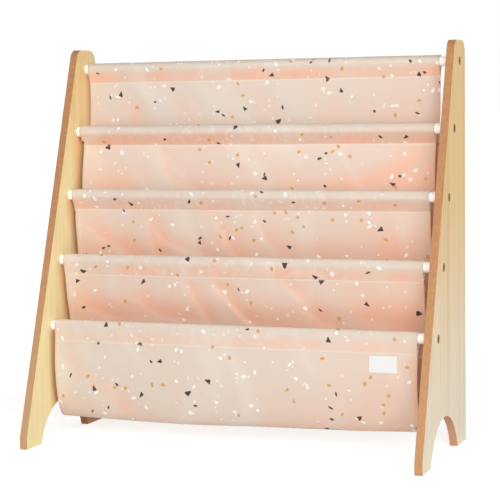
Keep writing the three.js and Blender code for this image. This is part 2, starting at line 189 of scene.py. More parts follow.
class ShelfSizes(bpy.types.PropertyGroup):
    """Sizes of the finish that the boards, hardware and cloth are given"""

    edge_round: bpy.props.FloatProperty(
        name="Edge rounding", description="Radius along every edge of a board", default=0.8 * MM, unit="LENGTH"
    )
    cloth: bpy.props.FloatProperty(
        name="Cloth", description="Thickness of one layer of the canvas", default=0.7 * MM, unit="LENGTH"
    )
    hem: bpy.props.FloatProperty(
        name="Hem", description="Width of the folded hem at each side of a sling", default=8 * MM, unit="LENGTH"
    )
    stitch: bpy.props.FloatProperty(
        name="Stitch", description="Length of one stitch of the seams", default=2.7 * MM, unit="LENGTH"
    )
    stitch_pitch: bpy.props.FloatProperty(
        name="Stitch pitch", description="Distance from one stitch to the next", default=3.6 * MM, unit="LENGTH"
    )
    thread: bpy.props.FloatProperty(
        name="Thread", description="Thickness of the sewing thread", default=0.5 * MM, unit="LENGTH"
    )
    chip: bpy.props.FloatProperty(
        name="Chip", description="Width of a large printed chip", default=7 * MM, unit="LENGTH"
    )


def colour_property(name, description, red, green, blue):
    """A colour that the user can change, from sRGB values up to 255."""
    return bpy.props.FloatVectorProperty(
        name=name, description=description, default=(*srgb(red, green, blue), 1), size=4, min=0, max=1, subtype="COLOR"
    )


def srgb(red, green, blue):
    """Linear colour from sRGB values up to 255."""
    return tuple(
        v / 12.92 if v <= 0.04045 else ((v + 0.055) / 1.055) ** 2.4 for v in (c / 255 for c in (red, green, blue))
    )


class ShelfColours(bpy.types.PropertyGroup):
    """Colours of the shelf"""

    veneer: colour_property("Veneer", "Pale wood of the board faces", 248, 213, 150)
    veneer_dark: colour_property("Veneer grain", "Darker streaks of the wood", 236, 191, 124)
    # Palest wood that each board grows towards: by a share, and lower down by painted light from the floor
    left_veneer: colour_property("Pale veneer, left", "Palest wood of the left board", 255, 243, 189)
    right_veneer: colour_property("Pale veneer, right", "Palest wood of the right board", 255, 244, 222)
    edge: colour_property("Board edge", "Tan edge of the boards", 199, 144, 100)
    paint: colour_property("Tube paint", "Gloss white of the tubes", 254, 254, 254)
    bronze: colour_property("Bolt", "Bronze plate of the bolts", 138, 90, 58)
    zinc: colour_property("Insert", "Zinc plate of the threaded inserts", 186, 188, 192)
    cream: colour_property("Canvas", "Canvas where it lies open to the light", 224, 209, 195)
    # Pink of the canvas: a little of it is the canvas's own tone, the rest is painted shade in folds, low on the sheets
    # and under the channels
    blush: colour_property("Canvas in folds", "Canvas in its folds and under the channels", 244, 188, 159)
    white_chip: colour_property("White chips", "Largest group of printed chips", 250, 247, 243)
    dark_chip: colour_property("Dark chips", "Dark printed chips", 38, 18, 24)
    ochre_chip: colour_property("Ochre chips", "Ochre printed chips", 214, 160, 84)
    thread: colour_property("Thread", "Sewing thread", 244, 228, 208)
    tape: colour_property("Label", "Bare woven label", 238, 238, 237)


class Wire:
    """A value in a material's node tree. Arithmetic on it adds Math nodes."""

    def __init__(self, finish, socket):
        self.finish, self.socket = finish, socket

    def math(self, operation, *values):
        return self.finish.node("Math", {"operation": operation}, dict(enumerate(values)))

    def __add__(self, other):
        return self.math("ADD", self, other)

    def __radd__(self, other):
        return self.math("ADD", other, self)

    def __sub__(self, other):
        return self.math("SUBTRACT", self, other)

    def __rsub__(self, other):
        return self.math("SUBTRACT", other, self)

    def __mul__(self, other):
        return self.math("MULTIPLY", self, other)

    def __rmul__(self, other):
        return self.math("MULTIPLY", other, self)

    def __gt__(self, other):
        return self.math("GREATER_THAN", self, other)

    def __lt__(self, other):
        return self.math("LESS_THAN", self, other)

    def between(self, low, high):
        """0 below low and 1 above high, with a soft step between them."""
        return self.finish.node(
            "MapRange",
            {"interpolation_type": "SMOOTHSTEP"},
            {"Value": self, "From Min": low, "From Max": high},
        )


class Finish:
    """A material made of nodes around one Principled shader."""

    def __init__(self, name, **shader):
        self.material = bpy.data.materials.new(name)
        self.material.use_nodes = True
        self.tree = self.material.node_tree
        self.shader = self.tree.nodes["Principled BSDF"]
        for key, value in shader.items():
            self.set(self.shader, key.replace("_", " "), value)

    def set(self, node, key, value):
        socket = node.inputs[key]
        if isinstance(value, Wire):
            self.tree.links.new(value.socket, socket)
        else:
            socket.default_value = value

    def node(self, kind, settings, inputs, output=0):
        """Adds a node, sets it up, connects its inputs and returns one of its outputs."""
        node = self.tree.nodes.new("ShaderNode" + kind)
        for key, value in settings.items():
            if key == "stops":
                ramp = node.color_ramp.elements
                while len(ramp) < len(value):
                    ramp.new(0.5)
                for stop, (place, colour) in zip(ramp, value):
                    stop.position, stop.color = place, colour
            else:
                setattr(node, key, value)
        for key, value in inputs.items():
            self.set(node, key, value)
        return Wire(self, node.outputs[output])

    def mix(self, factor, first, second):
        """A colour between two colours."""
        return self.node("Mix", {"data_type": "RGBA"}, {0: factor, 6: first, 7: second}, 2)

    def coordinates(self, kind="Object", scale=(1, 1, 1), turn=0.0, shift=(0, 0, 0)):
        """Coordinates in metres, scaled, turned about Z and shifted."""
        base = self.node("TexCoord", {}, {}, kind)
        return self.node("Mapping", {}, {"Vector": base, "Location": shift, "Rotation": (0, 0, turn), "Scale": scale})

    def noise(self, coordinates, scale=1.0, detail=2.0, roughness=0.5, distortion=0.0):
        return self.node(
            "TexNoise",
            {},
            {"Vector": coordinates, "Scale": scale, "Detail": detail, "Roughness": roughness, "Distortion": distortion},
        )

    def along(self, axis):
        """A place along an axis of the object in metres."""
        return self.node("SeparateXYZ", {}, {"Vector": self.node("TexCoord", {}, {}, "Object")}, axis)

    def height(self):
        """Height above the floor in metres."""
        return self.along("Z")

    def finish_with(self, **sockets):
        for key, value in sockets.items():
            self.set(self.shader, key.replace("_", " "), value)
        return self.material

    def bump(self, height, strength, distance):
        return self.node("Bump", {}, {"Strength": strength, "Distance": distance, "Height": height})


def wood_finish(name, colours, palest, share, gain, top, bottom):
    """Upright veneer under a satin lacquer. By a share it is the palest wood, and by a gain more from top to bottom, as
    painted light from the floor. Painted shade lies on the inner face beside the cloth and low on the left board's rear
    foot.
    """
    f = Finish(name, Coat_Weight=0.04, Coat_Roughness=0.4, IOR=1.46, Specular_IOR_Level=0.3)
    fine = f.noise(f.coordinates(scale=(40, 330, 5)), detail=5, roughness=0.62)
    streak = f.noise(f.coordinates(scale=(9, 70, 1.3), shift=(3, 1, 2)), detail=3, distortion=0.6)
    broad = f.noise(f.coordinates(scale=(3, 16, 0.9), shift=(1, 5, 0)), detail=2)
    ring_place = f.coordinates(scale=(1, 1, 0.055))
    rings = f.node(
        "TexWave",
        {"wave_type": "BANDS", "bands_direction": "Y", "wave_profile": "SAW"},
        {"Vector": ring_place, "Scale": 34, "Distortion": 5.5, "Detail": 2, "Detail Scale": 9, "Detail Roughness": 0.5},
        1,
    )
    line = rings.between(0.72, 1.0)
    grain = 0.34 * fine.between(0.3, 0.72) + 0.4 * streak.between(0.34, 0.7) + 0.1 * line + 0.3 * broad.between(0.3, 0.72)
    # Painted light: paler towards the floor by the gain
    paling_and_floor_light = share + gain * f.height().between(top, bottom)
    plain, streaked = f.mix(paling_and_floor_light, colours.veneer, palest), f.mix(0.6 * paling_and_floor_light, colours.veneer_dark, palest)
    tint = f.mix(grain.between(0.1, 1.1), plain, streaked)
    height, depth = f.height(), f.along("Y")
    side = f.along("X")
    # Painted shadow of the cloth: orange-brown on the inner faces just in front of the cloth's edge, following each
    # tier's sway
    inner = side.math("ABSOLUTE", side).between(0.311, 0.305)
    tier = height.math("FLOOR", (RODS[0].y - height) * (1 / ROD_PITCH))
    tier = tier.math("MINIMUM", tier, ROD_COUNT - 1)
    below = RODS[0].y - height - ROD_PITCH * tier
    sway = 0.012 * (tier > 1.5) * (tier < 3.5) * below.between(0.01, 0.07)
    behind = depth - sway - (RODS[0].x - CHANNEL_RADIUS - SLOPE * ROD_PITCH * tier)
    painted_cloth_shadow = inner * behind.between(-0.013, 0.004) * behind.between(0.07, 0.03) * height.between(0.6, 0.56)
    tint = f.mix(0.5 * painted_cloth_shadow, tint, (*srgb(255, 186, 122), 1))
    # Painted shade low on the left board's rear foot, which lies in the shelf's shadow
    low_shade = inner * side.between(0.1, -0.1) * height.between(0.08, 0.045) * depth.between(0.03, 0.08)
    tint = f.mix(0.9 * low_shade, tint, (*srgb(202, 140, 112), 1))
    pores = fine.between(0.62, 0.74)
    return f.finish_with(
        Base_Color=f.mix(0.16 * pores, tint, (*srgb(178, 136, 84), 1)),
        Roughness=0.46 + 0.14 * fine,
        Normal=f.bump(grain - 0.5 * pores, 0.15, 0.2 * MM),
    )


def edge_finish(colours):
    """The tan, close-grained edge of the boards, with painted light and shade on its lower parts."""
    f = Finish("tan_board_edge", IOR=1.46, Specular_IOR_Level=0.25)
    speck = f.noise(f.coordinates(scale=(300, 300, 110)), detail=3, roughness=0.7)
    cloud = f.noise(f.coordinates(scale=(20, 20, 7)), detail=2)
    tint = f.mix(0.7 * speck.between(0.3, 0.7) + 0.2 * cloud, colours.edge, (*srgb(178, 124, 84), 1))
    low, right, depth = f.height().between(0.42, 0), f.along("X").between(-0.1, 0.1), f.along("Y")
    # Painted light: the edges paler towards the floor, less on the right board
    tint = f.mix(low * (0.36 - 0.18 * right), tint, (*srgb(232, 198, 152), 1))
    # The arch's edges: painted light on the right board, painted shade on the left
    arch = f.height().between(0.07, 0.06) * depth.between(-0.1, -0.07) * depth.between(0.12, 0.1)
    tint = f.mix(0.75 * arch * right, tint, (*srgb(226, 172, 140), 1))
    tint = f.mix(0.8 * arch * (1 - right), tint, (*srgb(176, 116, 92), 1))
    return f.finish_with(Base_Color=tint, Roughness=0.6 + 0.12 * speck, Normal=f.bump(speck, 0.18, 0.15 * MM))


def paint_and_glow_finish(colours):
    """Gloss white powder coat with a slight orange peel, and a faint painted glow."""
    f = Finish("gloss_white_paint_and_glow", Base_Color=colours.paint, Coat_Weight=0.4, Coat_Roughness=0.12, IOR=1.5)
    # Painted glow: the paint emits faintly in its own white, so the tubes stay white where they lie in shade
    f.set(f.shader, "Emission Color", colours.paint)
    f.set(f.shader, "Emission Strength", 0.1)
    peel = f.noise(f.coordinates(), scale=900, detail=1)
    smear = f.noise(f.coordinates(), scale=30, detail=2)
    return f.finish_with(Roughness=0.24 + 0.1 * smear, Normal=f.bump(peel, 0.06, 0.1 * MM))


def metal_finish(name, colour, roughness, metallic):
    """Plated metal with turned marks and light wear."""
    f = Finish(name, Metallic=metallic, IOR=1.5, Specular_IOR_Level=0.2)
    marks = f.noise(f.coordinates(scale=(2600, 300, 300)), detail=2)
    wear = f.noise(f.coordinates(), scale=420, detail=3, roughness=0.65)
    worn = f.mix(0.16 * wear.between(0.5, 0.75), colour, (*srgb(206, 190, 170), 1))
    return f.finish_with(
        Base_Color=worn, Roughness=roughness + 0.16 * marks, Normal=f.bump(marks, 0.1, 0.05 * MM)
    )


CORNER_CUT = 1.45  # how far the corners of a flake reach, as a share of its width


def flakes(f, cell, seed, chance, reach, ragged=0.5, slim=0.25, sides=5):
    """A mask of straight-edged flakes: in a few cells of a broken pattern, a polygon of its own shape and turn."""
    place = f.coordinates("UV", scale=(1 / cell, 1 / cell, 1), shift=(*seed, 0))
    cells = {"Vector": place, "Scale": 1.0, "Randomness": 0.8}
    centre = f.node("TexVoronoi", {"voronoi_dimensions": "2D"}, cells, "Position")
    draw = Wire(f, centre.socket.node.outputs["Color"])
    first = f.node("SeparateColor", {}, {"Color": draw}, "Red")
    second, third = (Wire(f, first.socket.node.outputs[name]) for name in ("Green", "Blue"))
    local = f.node("VectorMath", {"operation": "SUBTRACT"}, {0: place, 1: centre})
    local = f.node("VectorRotate", {"rotation_type": "Z_AXIS"}, {"Vector": local, "Angle": 2 * math.pi * second})
    along = f.node("SeparateXYZ", {}, {"Vector": local}, "X")
    across = Wire(f, along.socket.node.outputs["Y"])
    stretch = 1 + slim * third
    along = along.math("DIVIDE", along + across * (1.1 * third - 0.55), stretch)
    across = across * stretch
    outside = f.node("VectorMath", {"operation": "LENGTH"}, {0: local}, "Value") - CORNER_CUT * reach
    for side in range(sides):
        angle = 2 * math.pi * side / sides
        jitter = f.node("Math", {"operation": "FRACT"}, {0: first * (37.3 + 11.7 * side) + 0.61 * side})
        past = along * math.cos(angle) + across * math.sin(angle) - reach * (1 - ragged + ragged * jitter)
        outside = f.node("Math", {"operation": "MAXIMUM"}, {0: outside, 1: past})
    return (first > 1 - chance) * outside.between(0.03, -0.01)


def cloth_finish(colours, sizes):
    """Blush canvas with a plain weave and a print of scattered chips."""
    f = Finish("blush_canvas", IOR=1.45, Sheen_Weight=0.08, Sheen_Roughness=0.5, Specular_IOR_Level=0.5)
    # The pink share stored on the cloth is its slight own tone plus painted shade
    pink_and_shade_share = f.node("Attribute", {"attribute_name": "blush"}, {}, "Fac")
    mottle = f.noise(f.coordinates("UV", scale=(18, 18, 1)), detail=3)
    slub = f.noise(f.coordinates("UV", scale=(260, 2200, 1)), detail=2)
    ground = f.mix((pink_and_shade_share + 0.12 * (mottle - 0.5)).between(0.0, 1.0), colours.cream, colours.blush)
    ground = f.mix(0.08 * slub, ground, (*srgb(214, 186, 160), 1))
    # Painted highlight and shade of soft slanting folds: pale streaks, and faint pink shade between them
    slant = 17 * (f.along("X") + 0.45 * f.height()) + 40 * f.along("Y")
    fold = f.noise(f.node("CombineXYZ", {}, {"X": slant, "Y": 5 * f.height()}), detail=1, distortion=0.2)
    ground = f.mix(0.3 * fold.between(0.5, 0.7), ground, (*srgb(236, 227, 213), 1))
    ground = f.mix(0.1 * fold.between(0.46, 0.3), ground, colours.blush)
    # Paler in a thin line along each seam, and a painted highlight along the channel tops
    pale = f.node("Attribute", {"attribute_name": "pale"}, {}, "Fac")
    ground = f.mix(0.28 * pale, ground, (*srgb(246, 232, 214), 1))
    # Small wrinkles near the middle of the channels: a bump, with painted highlight patches and faint painted shade
    # between them
    crinkle = f.noise(f.coordinates("UV", scale=(105, 60, 1)), detail=2, distortion=0.9)
    loose = f.node("Attribute", {"attribute_name": "crinkle"}, {}, "Fac")
    ground = f.mix(0.5 * loose * crinkle.between(0.5, 0.66), ground, (*srgb(242, 233, 220), 1))
    ground = f.mix(0.2 * loose * crinkle.between(0.48, 0.36), ground, colours.blush)
    chip = sizes.chip
    crowd = f.noise(f.coordinates("UV", scale=(14, 14, 1), shift=(4, 9, 0)), detail=1).between(0.3, 0.7)
    faint = flakes(f, 1.2 * chip, (3.1, 7.7), 0.026, 0.34)
    white = flakes(f, 1.3 * chip, (11.3, 2.9), 0.031, 0.41, 0.62)
    small_white = flakes(f, 0.9 * chip, (41.7, 8.3), 0.021, 0.32) * (0.3 + 0.7 * crowd)
    ochre = flakes(f, 1.3 * chip, (5.7, 19.1), 0.018, 0.38, 0.45, 0.15)
    dark = flakes(f, 1.6 * chip, (23.9, 13.3), 0.018, 0.33, 0.55, 0.4, 3)
    sliver = flakes(f, 1.4 * chip, (31.1, 27.7), 0.01, 0.32, 0.6, 0.8)
    tint = f.mix(0.4 * faint, ground, colours.white_chip)
    tint = f.mix(0.95 * white, tint, colours.white_chip)
    tint = f.mix(0.92 * small_white, tint, colours.white_chip)
    tint = f.mix(0.9 * ochre, tint, colours.ochre_chip)
    tint = f.mix(0.96 * dark, tint, colours.dark_chip)
    tint = f.mix(0.94 * sliver, tint, colours.dark_chip)
    thread_count = 2 * math.pi / (0.62 * MM)
    wide = f.node("SeparateXYZ", {}, {"Vector": f.node("TexCoord", {}, {}, "UV")})
    down = Wire(f, wide.socket.node.outputs[1])
    weave = wide.math("SINE", wide * thread_count) * down.math("SINE", down * thread_count)
    woven = f.bump(0.5 * weave + slub, 0.25, 0.12 * MM)
    f.set(woven.socket.node, "Normal", f.bump(crinkle * loose, 0.5, 2.2 * MM))
    return f.finish_with(Base_Color=tint, Roughness=0.56 - 0.1 * white + 0.08 * (slub - 0.5), Normal=woven)


def thread_finish(colours):
    """Twisted polyester thread."""
    f = Finish("sewing_thread", IOR=1.45, Sheen_Weight=0.2)
    twist = f.noise(f.coordinates(scale=(2600, 900, 2600)), detail=1)
    return f.finish_with(
        Base_Color=f.mix(0.3 * twist, colours.thread, (*srgb(222, 198, 172), 1)),
        Roughness=0.6 + 0.1 * twist,
        Normal=f.bump(twist, 0.3, 0.08 * MM),
    )


def tape_finish(colours):
    """Close-woven white satin tape."""
    f = Finish("woven_tape", IOR=1.45, Sheen_Weight=0.1)
    ribs = f.noise(f.coordinates("UV", scale=(900, 5200, 1)), detail=2)
    return f.finish_with(
        Base_Color=f.mix(0.2 * ribs, colours.tape, (*srgb(228, 228, 230), 1)),
        Roughness=0.5 + 0.14 * ribs,
        Normal=f.bump(ribs, 0.2, 0.06 * MM),
    )


def add_piece(name, bm, finishes, nodes=(), smooth_angle=None):
    """Makes an object of a bmesh, gives it its finishes and lets it ride on the frame."""
    mesh = bpy.data.meshes.new(name)
    bm.to_mesh(mesh)
    bm.free()
    for finish in finishes:
        mesh.materials.append(finish)
    piece = bpy.data.objects.new(name, mesh)
    bpy.context.scene.collection.objects.link(piece)
    mesh.shade_smooth()
    if smooth_angle is not None:
        mesh.set_sharp_from_angle(angle=smooth_angle)
    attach(piece, "root")
    if nodes:
        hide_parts(*nodes)
    return piece


def add_modifier(piece, name, kind, **settings):
    modifier = piece.modifiers.new(name, kind)
    for key, value in settings.items():
        setattr(modifier, key, value)
    return modifier


def through(places, values, at):
    """A smooth curve through values at places, read at one place."""
    at = min(max(at, places[0]), places[-1])
    i = next(k for k in range(1, len(places)) if at <= places[k])
    last = len(places) - 1

    def rate(k):
        before, after = max(k - 1, 0), min(k + 1, last)
        return (values[after] - values[before]) / (places[after] - places[before])

    span = places[i] - places[i - 1]
    t = (at - places[i - 1]) / span
    return (
        (2 * t**3 - 3 * t**2 + 1) * values[i - 1]
        + (t**3 - 2 * t**2 + t) * span * rate(i - 1)
        + (3 * t**2 - 2 * t**3) * values[i]
        + (t**3 - t**2) * span * rate(i)
    )


def smoothstep(value, low, high):
    t = min(max((value - low) / (high - low), 0), 1)
    return t * t * (3 - 2 * t)


def lerp(a, b, t):
    return a + (b - a) * t


def steps(start, end, count):
    return [lerp(start, end, i / count) for i in range(count + 1)]


SHARP_SIDE, SOFT_SIDE = 0.5, 2  # widths of a crease to its left and to its right


def near_line(point, line, half):
    """How near a point of the flat cloth is to a crease: 1 on it, fading faster on its left side."""
    best, left = math.inf, True
    for a, b in zip(line, line[1:]):
        along, reach = b - a, point - a
        t = min(max(reach.dot(along) / along.length_squared, 0), 1)
        away = (reach - along * t).length
        if away < best:
            best, left = away, along.cross(reach) > 0
    return math.exp(-((best / half / (SHARP_SIDE if left else SOFT_SIDE)) ** 2))


def crease_lines():
    """The creases of each rod on the flat cloth, in metres."""
    lines = []
    for rows in CREASES:
        lines.append(
            [
                ([Vector((across * SLING_WIDTH, down * MM)) for across, down in points], push * MM, half * MM, blush)
                for points, push, half, blush in rows
            ]
        )
    return lines


CREASE_LINES = crease_lines()
CREASE_DRIFT = 5 * MM  # how far a crease wanders off its line
CREASE_PUSH_SHARE = 0.42


def creases_at(rod, across, depth):
    """How far the creases push a sheet of a rod to the rear, and how much painted shade they give it."""
    point = Vector((across * SLING_WIDTH, depth))
    drift = noise.noise_vector(Vector((point.x * 24, point.y * 24, rod * 4.1)))
    point += drift.xy * CREASE_DRIFT
    push = blush = 0
    for line, reach, half, share in CREASE_LINES[rod]:
        near = near_line(point, line, half)
        push += CREASE_PUSH_SHARE * reach * near
        blush += share * near
    grown = smoothstep(depth, SEAM_DROP, SEAM_DROP + 16 * MM)
    return push * grown, blush * grown


def pucker(rod, across, depth):
    """Small slanting puckers along the seam of a channel, strongest about the middle of the cloth."""
    near = math.exp(-(((depth - SEAM_DROP) / (8 * MM)) ** 2))
    place = across * SLING_WIDTH
    slant = noise.noise(Vector((place * 95 + depth * 60, depth * 30, rod * 7.3)))
    fine = noise.noise(Vector((place * 210 + depth * 150, depth * 60, rod * 3.1)))
    middle = 0.4 + 0.6 * math.exp(-(((across - 0.45) / 0.25) ** 2))
    return 0.75 * MM * near * middle * (slant + 0.5 * fine)


def hang_at(rod, across, depth):
    """Distance of a hanging sheet behind the centre of its rod."""
    push, _ = creases_at(rod, across, depth)
    place = across * SLING_WIDTH
    wave = noise.noise(Vector((place * 13, depth * 11, rod * 5.7))) * 0.8 * MM
    push += wave * smoothstep(depth, SEAM_DROP, SEAM_DROP + 30 * MM) + pucker(rod, across, depth)
    if rod == ROD_COUNT - 1:
        down = smoothstep(depth, SEAM_DROP, POCKET_DROP - FRONT_TURN)
        return push - CHANNEL_RADIUS - down * FRONT_BELLY
    drop = ROD_PITCH + POCKET_DROP - INNER_TURN - SEAM_DROP
    return push + SWAY * through(HANG_DEPTH_SHARES, HANG_SHARES[rod], (depth - SEAM_DROP) / drop)


def sheet_point(rod, across, depth):
    """A point of a hanging sheet, as depth and height."""
    return Vector((RODS[rod].x + hang_at(rod, across, depth), RODS[rod].y - depth))


def channel_point(rod, across, t, radius=CHANNEL_RADIUS):
    """A point of the cloth round a rod, from the rear side at 0 over the top to the front side at 1."""
    reach = sheet_point(rod, across, SEAM_DROP) - RODS[rod]
    angle = math.atan2(reach.y, reach.x)
    opening = math.acos(CHANNEL_RADIUS / reach.length)
    turn = lerp(angle + opening, angle - opening + 2 * math.pi, t)
    slack = 0.35 * MM * (1 + noise.noise(Vector((across * 46 + t * 7, t * 3, rod * 9.1))))
    return RODS[rod] + Vector((math.cos(turn), math.sin(turn))) * (radius + slack * math.sin(math.pi * t))


def flank_point(rod, across, side, t):
    """A point of a side of a channel, from the rod at 0 to the seam at 1, on the side 0 at the rear or 1 in front."""
    seam = sheet_point(rod, across, SEAM_DROP)
    if side == 0:
        seam.x += 0.75 * MM
    start = channel_point(rod, across, side)
    point = start.lerp(seam, t)
    point.x += pucker(rod, across, SEAM_DROP - (1 - t) * 14 * MM) * t * (1 - t) * 2
    return point


def tail_point(rod, across, t):
    """A point of the seam allowance that hangs behind the sheet."""
    return sheet_point(rod, across, SEAM_DROP + t * TAIL) + Vector((0.75 * MM, 0))


def sling_rows(rod):
    """The rows of a sling along the cloth. Each is a function of the share across, and says where on the sling it is."""
    following = rod + 1
    is_front = following == ROD_COUNT - 1
    rows = [(lambda a, t=t: tail_point(rod, a, t), "tail", rod, SEAM_DROP) for t in (1, 0.5)]
    rows += [(lambda a, t=t: flank_point(rod, a, 0, t), "channel", rod, 0) for t in (1, 0.67, 0.33)]
    rows += [(lambda a, t=t: channel_point(rod, a, t), "channel", rod, 0) for t in steps(0, 1, 20)]
    rows += [(lambda a, t=t: flank_point(rod, a, 1, t), "channel", rod, 0) for t in (0.2, 0.4, 0.6, 0.8, 0.9)]

    back_end = ROD_PITCH + POCKET_DROP - INNER_TURN
    near_seam = [SEAM_DROP + d * MM for d in (0, 1.2, 2.6, 4.5, 7, 10)]
    for depth in near_seam + steps(SEAM_DROP + 14 * MM, back_end, 40):
        rows.append((lambda a, d=depth: sheet_point(rod, a, d), "back", rod, depth))

    behind = Vector((0 if is_front else LAYER, 0))
    front_turn = POCKET_DROP - (FRONT_TURN if is_front else INNER_TURN)

    def next_sheet(across, depth):
        return sheet_point(following, across, depth) + behind

    def lowest(across):
        return RODS[following].y - POCKET_DROP + BOTTOM_RISE * through(ACROSS_SHARES, BOTTOM_SHARES, across)

    def turned(across, angle, side):
        back, front = sheet_point(rod, across, back_end), next_sheet(across, front_turn)
        end = back if side == 0 else front
        middle = (back.x + front.x) / 2
        point = Vector((lerp(middle, end.x, math.cos(angle)), lerp(end.y, lowest(across), math.sin(angle))))
        if side == 1:
            depth = RODS[following].y - point.y
            if is_front:
                fold = creases_at(following, across, depth)[0] - creases_at(following, across, front_turn)[0]
                point.x += fold * math.cos(angle)
            else:
                point.x = max(point.x, next_sheet(across, depth).x)
        return point

    quarter = steps(0, math.pi / 2, 10)
    rows += [(lambda a, g=g: turned(a, g, 0), "bottom", following, POCKET_DROP) for g in quarter[1:]]
    kind = "turn" if is_front else "bottom"
    rows += [(lambda a, g=g: turned(a, g, 1), kind, following, POCKET_DROP) for g in quarter[-2:0:-1]]
    for depth in steps(front_turn, SEAM_DROP + 14 * MM, 16 if is_front else 26):
        rows.append((lambda a, d=depth: next_sheet(a, d), "front", following, depth))
    for depth in reversed(near_seam):
        rows.append((lambda a, d=depth: next_sheet(a, d), "front", following, depth))
    if is_front:
        rows += [(lambda a, t=t: flank_point(following, a, 1, t), "channel", following, 0) for t in (0.9, 0.7, 0.45, 0.2)]
        rows += [(lambda a, t=t: channel_point(following, a, t), "channel", following, 0) for t in steps(1, 0, 20)]
        rows += [(lambda a, t=t: flank_point(following, a, 0, t), "channel", following, 0) for t in (0.33, 0.67, 1)]
        rows += [(lambda a, t=t: tail_point(following, a, t), "tail", following, SEAM_DROP) for t in (0.5, 1)]
    return rows


def pink_and_shade_at(kind, rod, across, depth, normal):
    """How pink the cloth is at a point: a slight pink of its own, and painted shade where it turns from the light, in
    creases, low on a sheet and towards its right end; less of it, as painted highlight, on ridges and on the tops of
    the lower channels.
    """
    facing = normal.dot(PALE_SIDE)
    in_front = smoothstep(-normal.y, -0.1, 0.4)
    blush = 1.15 * max(0.56 - facing, 0) * in_front
    drift = noise.noise(Vector((across * 7 + rod * 3.7, depth * 14, rod * 2.3)))
    if kind == "channel":
        patch = 1 + 0.6 * noise.noise(Vector((across * 11, 0.5, rod * 1.9)))
        low = smoothstep(depth, 0, 1.2 * CHANNEL_RADIUS)
        top = 0.2 * smoothstep(normal.z, 0.6, 1) if rod == 0 else -0.12 * smoothstep(normal.z, 0.2, 0.9)
        return 0.12 + top + CHANNEL_SHADE_SHARES[rod] * low * patch * in_front
    if kind == "turn":
        blush *= 0.3
    if kind == "front" and rod < ROD_COUNT - 1:
        blush += 0.7 * smoothstep(across, 0.9, 0.97)
    if kind in ("back", "turn") or (kind == "front" and rod == ROD_COUNT - 1):
        _, crease = creases_at(rod, across, depth)
        low = smoothstep(depth, 36 * MM, 104 * MM) * (1 - smoothstep(depth, 120 * MM, 175 * MM))
        blush += low * LOW_SHADE_SHARES[rod] * (0.85 + 1.4 * drift)
        blush += 0.36 * crease + smoothstep(across + 2 * depth, 0.78, 1.1) * RIGHT_SHADE_SHARES[rod]
        blush += TOP_SHADE_SHARES[rod] + 0.35 * smoothstep(across, 0.983, 0.99)
    return 0.18 + 0.85 * blush


def columns_across(width, hem, step):
    """Places across the cloth as shares, closer at the hems."""
    count = round((width - 2 * hem) / step)
    inner = steps(hem, width - hem, count)
    edge = [0, 0.25 * hem, 0.6 * hem, 0.88 * hem]
    return [place / width for place in edge + inner + [width - e for e in reversed(edge)]]


def cloth_grid(rows, columns, width, start):
    """A flat grid of cloth, hung by its rows. Returns the bmesh and the length of cloth used."""
    bm = bmesh.new()
    uv = bm.loops.layers.uv.new("UVMap")
    blush = bm.verts.layers.float.new("blush")
    pale = bm.verts.layers.float.new("pale")
    crinkle = bm.verts.layers.float.new("crinkle")
    group = bm.verts.layers.deform.verify()
    count = len(columns)
    bmesh.ops.create_grid(bm, x_segments=count - 1, y_segments=len(rows) - 1, size=1)
    bm.verts.ensure_lookup_table()
    line = [row[0](0.5) for row in rows]
    along = [0.0]
    for a, b in zip(line, line[1:]):
        along.append(along[-1] + (b - a).length)
    places = []
    for j, (point_at, kind, rod, depth) in enumerate(rows):
        for i, across in enumerate(columns):
            point = point_at(across)
            hem_wave = noise.noise(Vector((point.y * 22, rod * 3.3, 4 * round(across)))) * 1.1 * MM
            edge = smoothstep(abs(across - 0.5), 0.44, 0.5) * hem_wave
            vertex = bm.verts[j * count + i]
            vertex.co = Vector((SLING_SHIFT + (across - 0.5) * width + edge, point.x, point.y))
            side = min(across, 1 - across) * width
            vertex[group][0] = 1.0 if side < 0.95 * HEM_WIDTH else 0.64
            places.append((kind, rod, across, RODS[rod].y - point.y if kind in ("turn", "channel") else depth))
    bm.normal_update()
    kinds = [row[1] for row in rows]
    sheet_row, turn_row = kinds.index("back"), kinds.index("bottom")
    face_side = -1 if bm.verts[(sheet_row + 3) * count + count // 2].normal.y > 0 else 1
    for index, (vertex, (kind, rod, across, depth)) in enumerate(zip(bm.verts, places)):
        outside = vertex.normal * (face_side if index < turn_row * count else -face_side)
        # Pink share: the canvas's own slight tone plus painted shade
        vertex[blush] = min(max(pink_and_shade_at(kind, rod, across, depth, outside), 0), 1)
        if kind in ("back", "front"):
            vertex[pale] = math.exp(-(((depth - SEAM_DROP - 0.5 * MM) / (1.1 * MM)) ** 2))
        # Painted highlight along the upward-facing tops of the channels
        if kind == "channel":
            vertex[pale] = CHANNEL_HIGHLIGHT_SHARES[rod] * smoothstep(outside.z, 0.3, 0.9)
            vertex[crinkle] = math.exp(-(((across - 0.45) / 0.33) ** 2)) * (0.6 if 0 < rod < ROD_COUNT - 1 else 0.3)
    for face in bm.faces:
        for loop in face.loops:
            index = loop.vert.index
            loop[uv].uv = (columns[index % count] * width, start + along[index // count])
    return bm, along[-1]


def turned_profile(profile, segments):
    """A round shell about the X axis from its profile, as place along X and radius. Ends on the axis are closed."""
    bm = bmesh.new()
    verts = [bm.verts.new((along, 0, radius)) for along, radius in profile]
    edges = [bm.edges.new(pair) for pair in zip(verts, verts[1:])]
    bmesh.ops.spin(
        bm, geom=verts + edges, cent=(0, 0, 0), axis=(1, 0, 0), angle=2 * math.pi, steps=segments, use_merge=True
    )
    bmesh.ops.remove_doubles(bm, verts=bm.verts, dist=0.001 * MM)
    return bm


def ring(bm, radius, centre, segments):
    """A circle about X in a bmesh. Returns its edges."""
    matrix = Matrix.Translation(centre) @ Matrix.Rotation(math.pi / 2, 4, "Y")
    made = bmesh.ops.create_circle(bm, cap_ends=False, radius=radius, segments=segments, matrix=matrix)
    return list({edge for vertex in made["verts"] for edge in vertex.link_edges})


